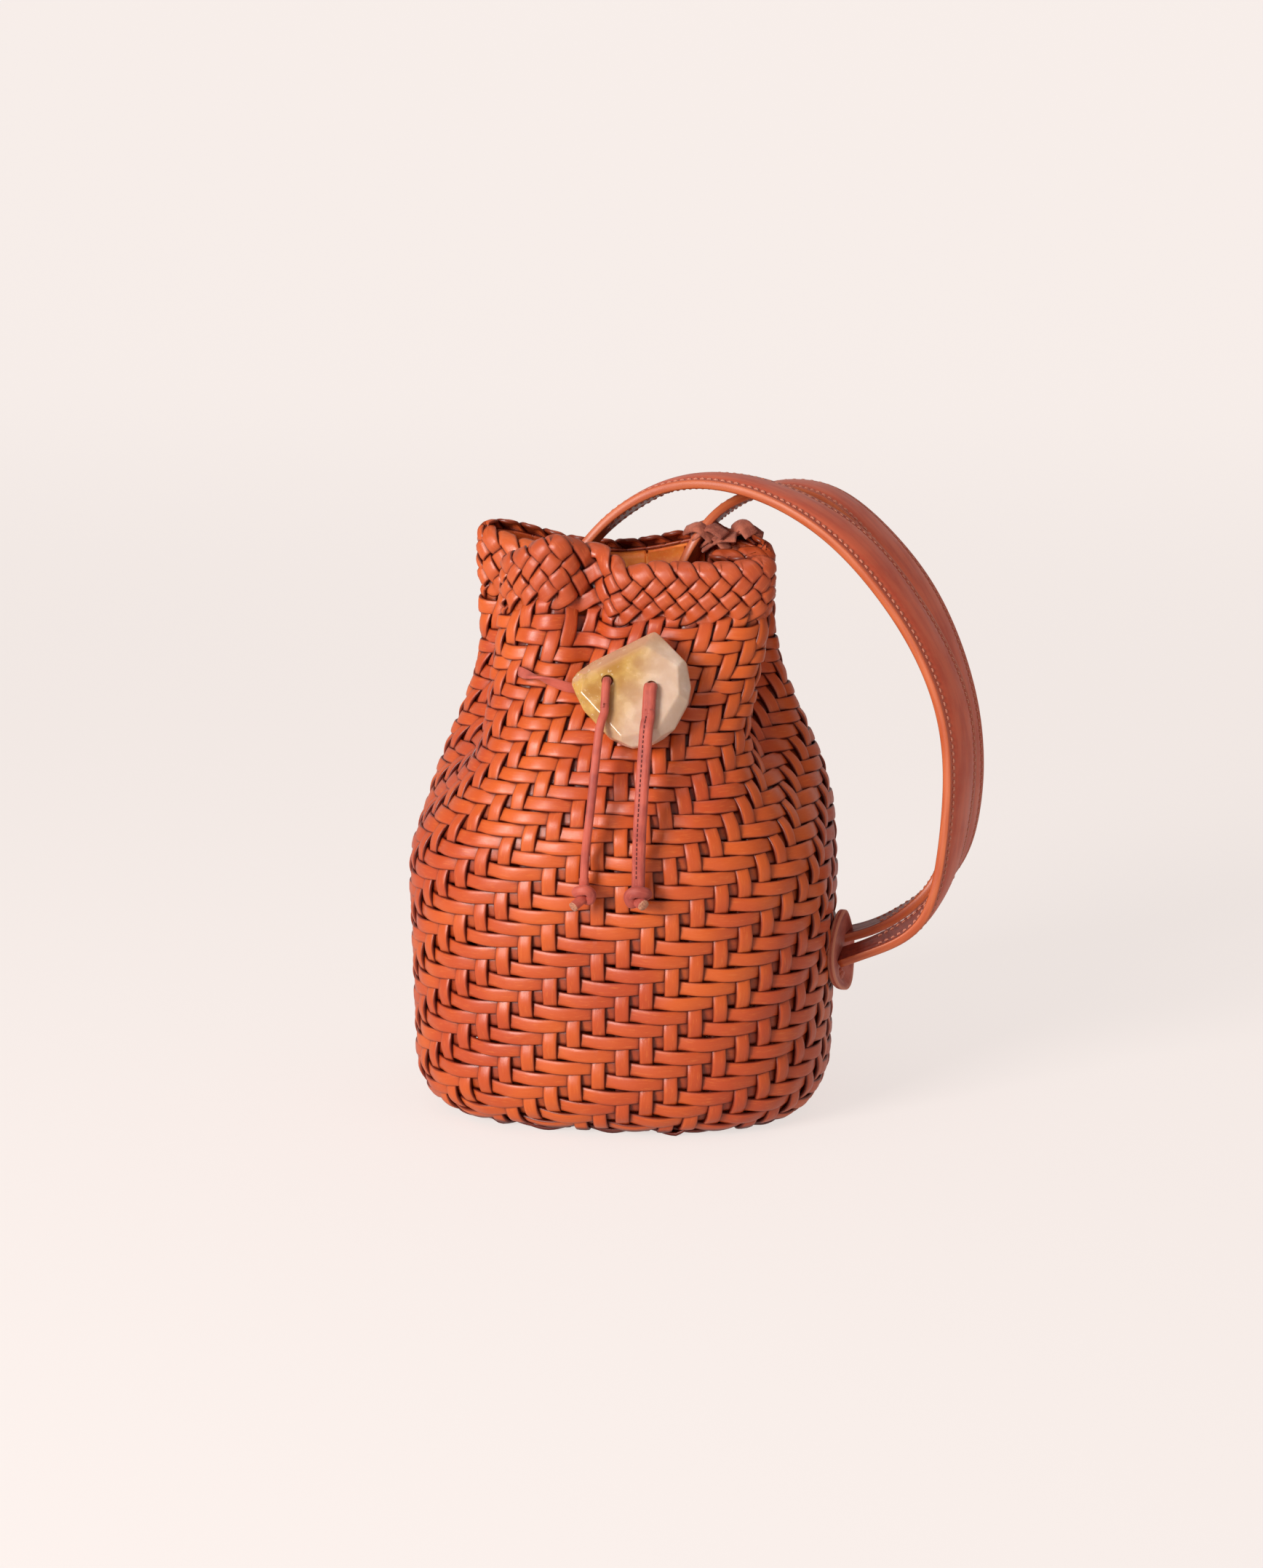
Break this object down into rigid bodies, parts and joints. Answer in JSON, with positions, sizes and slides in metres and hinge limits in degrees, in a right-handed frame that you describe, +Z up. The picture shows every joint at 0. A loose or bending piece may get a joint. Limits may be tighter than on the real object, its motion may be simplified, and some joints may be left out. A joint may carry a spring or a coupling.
{
  "type": "bucket bag",
  "caption": "Hand-woven leather bucket bag with a pleated neck, braided rim, drawcord with a polished stone toggle, and padded straps.",
  "frame": {"origin": "centre of the flat woven base, on the floor", "axes": "+Z up, -Y towards the front (the stone toggle), +X to the viewer's right, where the leaf tab and the straps are"},
  "size_m": [0.2554, 0.1632, 0.2856],
  "materials": {
    "woven": "satin",
    "rim": "satin",
    "strap": "satin",
    "lining": "satin",
    "tan": "satin",
    "cord": "satin",
    "tab": "satin",
    "padding": "matte",
    "thread": "matte",
    "stone": "polished"
  },
  "bodies": {
    "bag": {"woven_body": "woven", "neck_back": "woven", "rim_back": "rim", "back_patch": "tan", "lower_tab": "tab", "tab_thong": "cord", "drawcord_back": "cord", "near_strap_upper_end": "lining", "near_strap_lower_end": "lining", "far_strap_upper_end": "lining", "far_strap_lower_end": "lining"},
    "mouth_front": {"neck_front": "woven", "rim_front": "rim", "drawcord_left_lead": "cord", "drawcord_right_lead": "cord"},
    "toggle": {"stone_toggle": "stone"},
    "left_bend": {"left_cord_bend": "cord"},
    "right_bend": {"right_cord_bend": "cord"},
    "left_tail": {"left_cord_tail": "cord"},
    "right_tail": {"right_cord_tail": "cord"},
    "left_knot": {"left_knot": "cord"},
    "right_knot": {"right_knot": "cord"},
    "near_strap": {"near_strap_outer": "strap", "near_strap_lining": "lining", "near_strap_padding": "padding", "near_strap_thread_near": "thread", "near_strap_thread_far": "thread"},
    "far_strap": {"far_strap_outer": "strap", "far_strap_lining": "lining", "far_strap_padding": "padding", "far_strap_thread_near": "thread", "far_strap_thread_far": "thread"}
  },
  "joints": [
    {"name": "mouth_open", "type": "hinge", "parent": "bag", "child": "mouth_front", "pos_m": [0, -0.0775, 0.15], "axis": [1, 0, 0], "range_deg": [0, 12], "stiffness_Nm_per_rad": 0.3},
    {"name": "toggle_slide", "type": "slide", "parent": "mouth_front", "child": "toggle", "axis": [0, -0.9135, 0.4067], "range_m": [0, 0.011]},
    {"name": "left_tail_sway", "type": "hinge", "parent": "toggle", "child": "left_bend", "pos_m": [0.0022, -0.05966, 0.2043], "axis": [0, 1, 0], "range_deg": [-3, 22]},
    {"name": "left_tail_swing", "type": "hinge", "parent": "left_bend", "child": "left_tail", "pos_m": [0.0022, -0.06544, 0.2014], "axis": [-1, 0, 0], "range_deg": [0, 75]},
    {"name": "left_knot_rise", "type": "slide", "parent": "left_tail", "child": "left_knot", "axis": [0, 0, 1], "range_m": [0, 0.011], "deforming": ["left_cord_tail"]},
    {"name": "right_tail_sway", "type": "hinge", "parent": "toggle", "child": "right_bend", "pos_m": [0.0215, -0.06051, 0.20239], "axis": [0, -1, 0], "range_deg": [-3, 22]},
    {"name": "right_tail_swing", "type": "hinge", "parent": "right_bend", "child": "right_tail", "pos_m": [0.0215, -0.06739, 0.19997], "axis": [-1, 0, 0], "range_deg": [0, 75]},
    {"name": "right_knot_rise", "type": "slide", "parent": "right_tail", "child": "right_knot", "axis": [0, 0, 1], "range_m": [0, 0.011], "deforming": ["right_cord_tail"]},
    {"name": "near_strap_swing", "type": "hinge", "parent": "bag", "child": "near_strap", "pos_m": [0.10649, 0.00254, 0.07144], "axis": [0.5709, -0.0367, -0.8202], "range_deg": [0, 24], "stiffness_Nm_per_rad": 0.02},
    {"name": "far_strap_swing", "type": "hinge", "parent": "bag", "child": "far_strap", "pos_m": [0.10556, 0.01609, 0.0775], "axis": [-0.3658, 0.0218, 0.9304], "range_deg": [0, 30], "stiffness_Nm_per_rad": 0.02}
  ],
  "couplings": [
    {"joint": "toggle_slide", "follows": "mouth_open", "m_per_rad": 0.0525},
    {"joint": "left_knot_rise", "follows": "mouth_open", "m_per_rad": 0.0525},
    {"joint": "right_knot_rise", "follows": "mouth_open", "m_per_rad": 0.0525}
  ]
}
